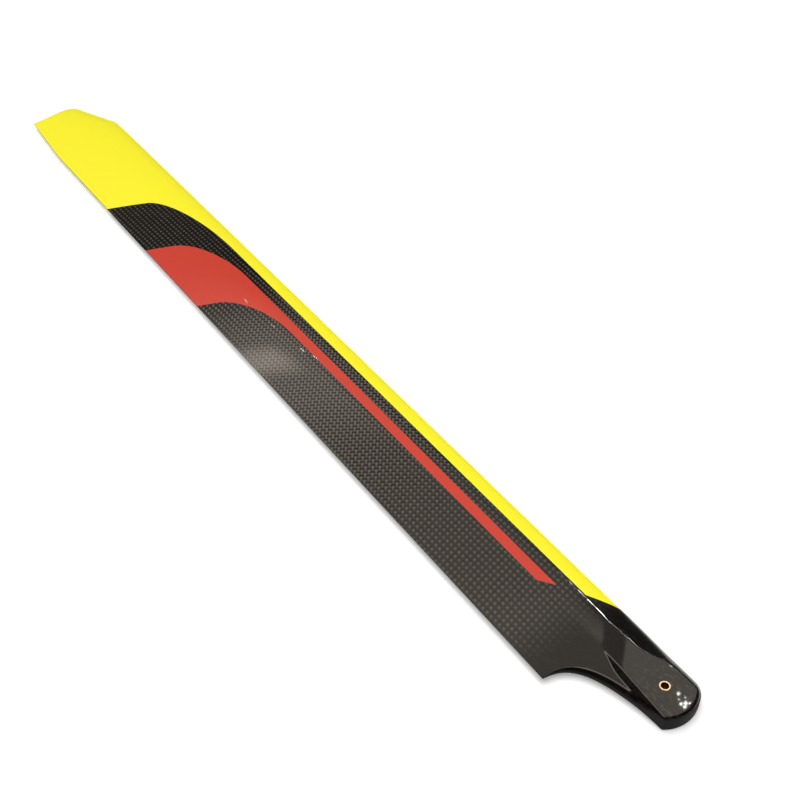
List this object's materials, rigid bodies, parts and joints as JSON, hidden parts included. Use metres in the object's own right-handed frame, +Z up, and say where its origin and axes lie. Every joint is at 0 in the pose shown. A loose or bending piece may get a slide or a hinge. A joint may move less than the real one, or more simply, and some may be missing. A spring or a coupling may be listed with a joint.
{
  "type": "helicopter rotor blade",
  "caption": "Carbon main rotor blade for a model helicopter: flat bushed root, symmetrical aerofoil and raked tip, painted in yellow and red stripes.",
  "frame": {"origin": "centre of the bolt hole, on the blade's mid-plane", "axes": "+X along the span to the tip, +Y from the leading to the trailing edge, +Z up along the bolt"},
  "size_m": [0.6154, 0.0518, 0.0084],
  "materials": {
    "carbon_skin": "plain-weave carbon cloth under a gloss clear coat, with yellow and red paint",
    "bush_brass": "turned brass"
  },
  "bodies": {
    "root": {"blade": "carbon_skin", "root_bush": "bush_brass"}
  },
  "joints": []
}
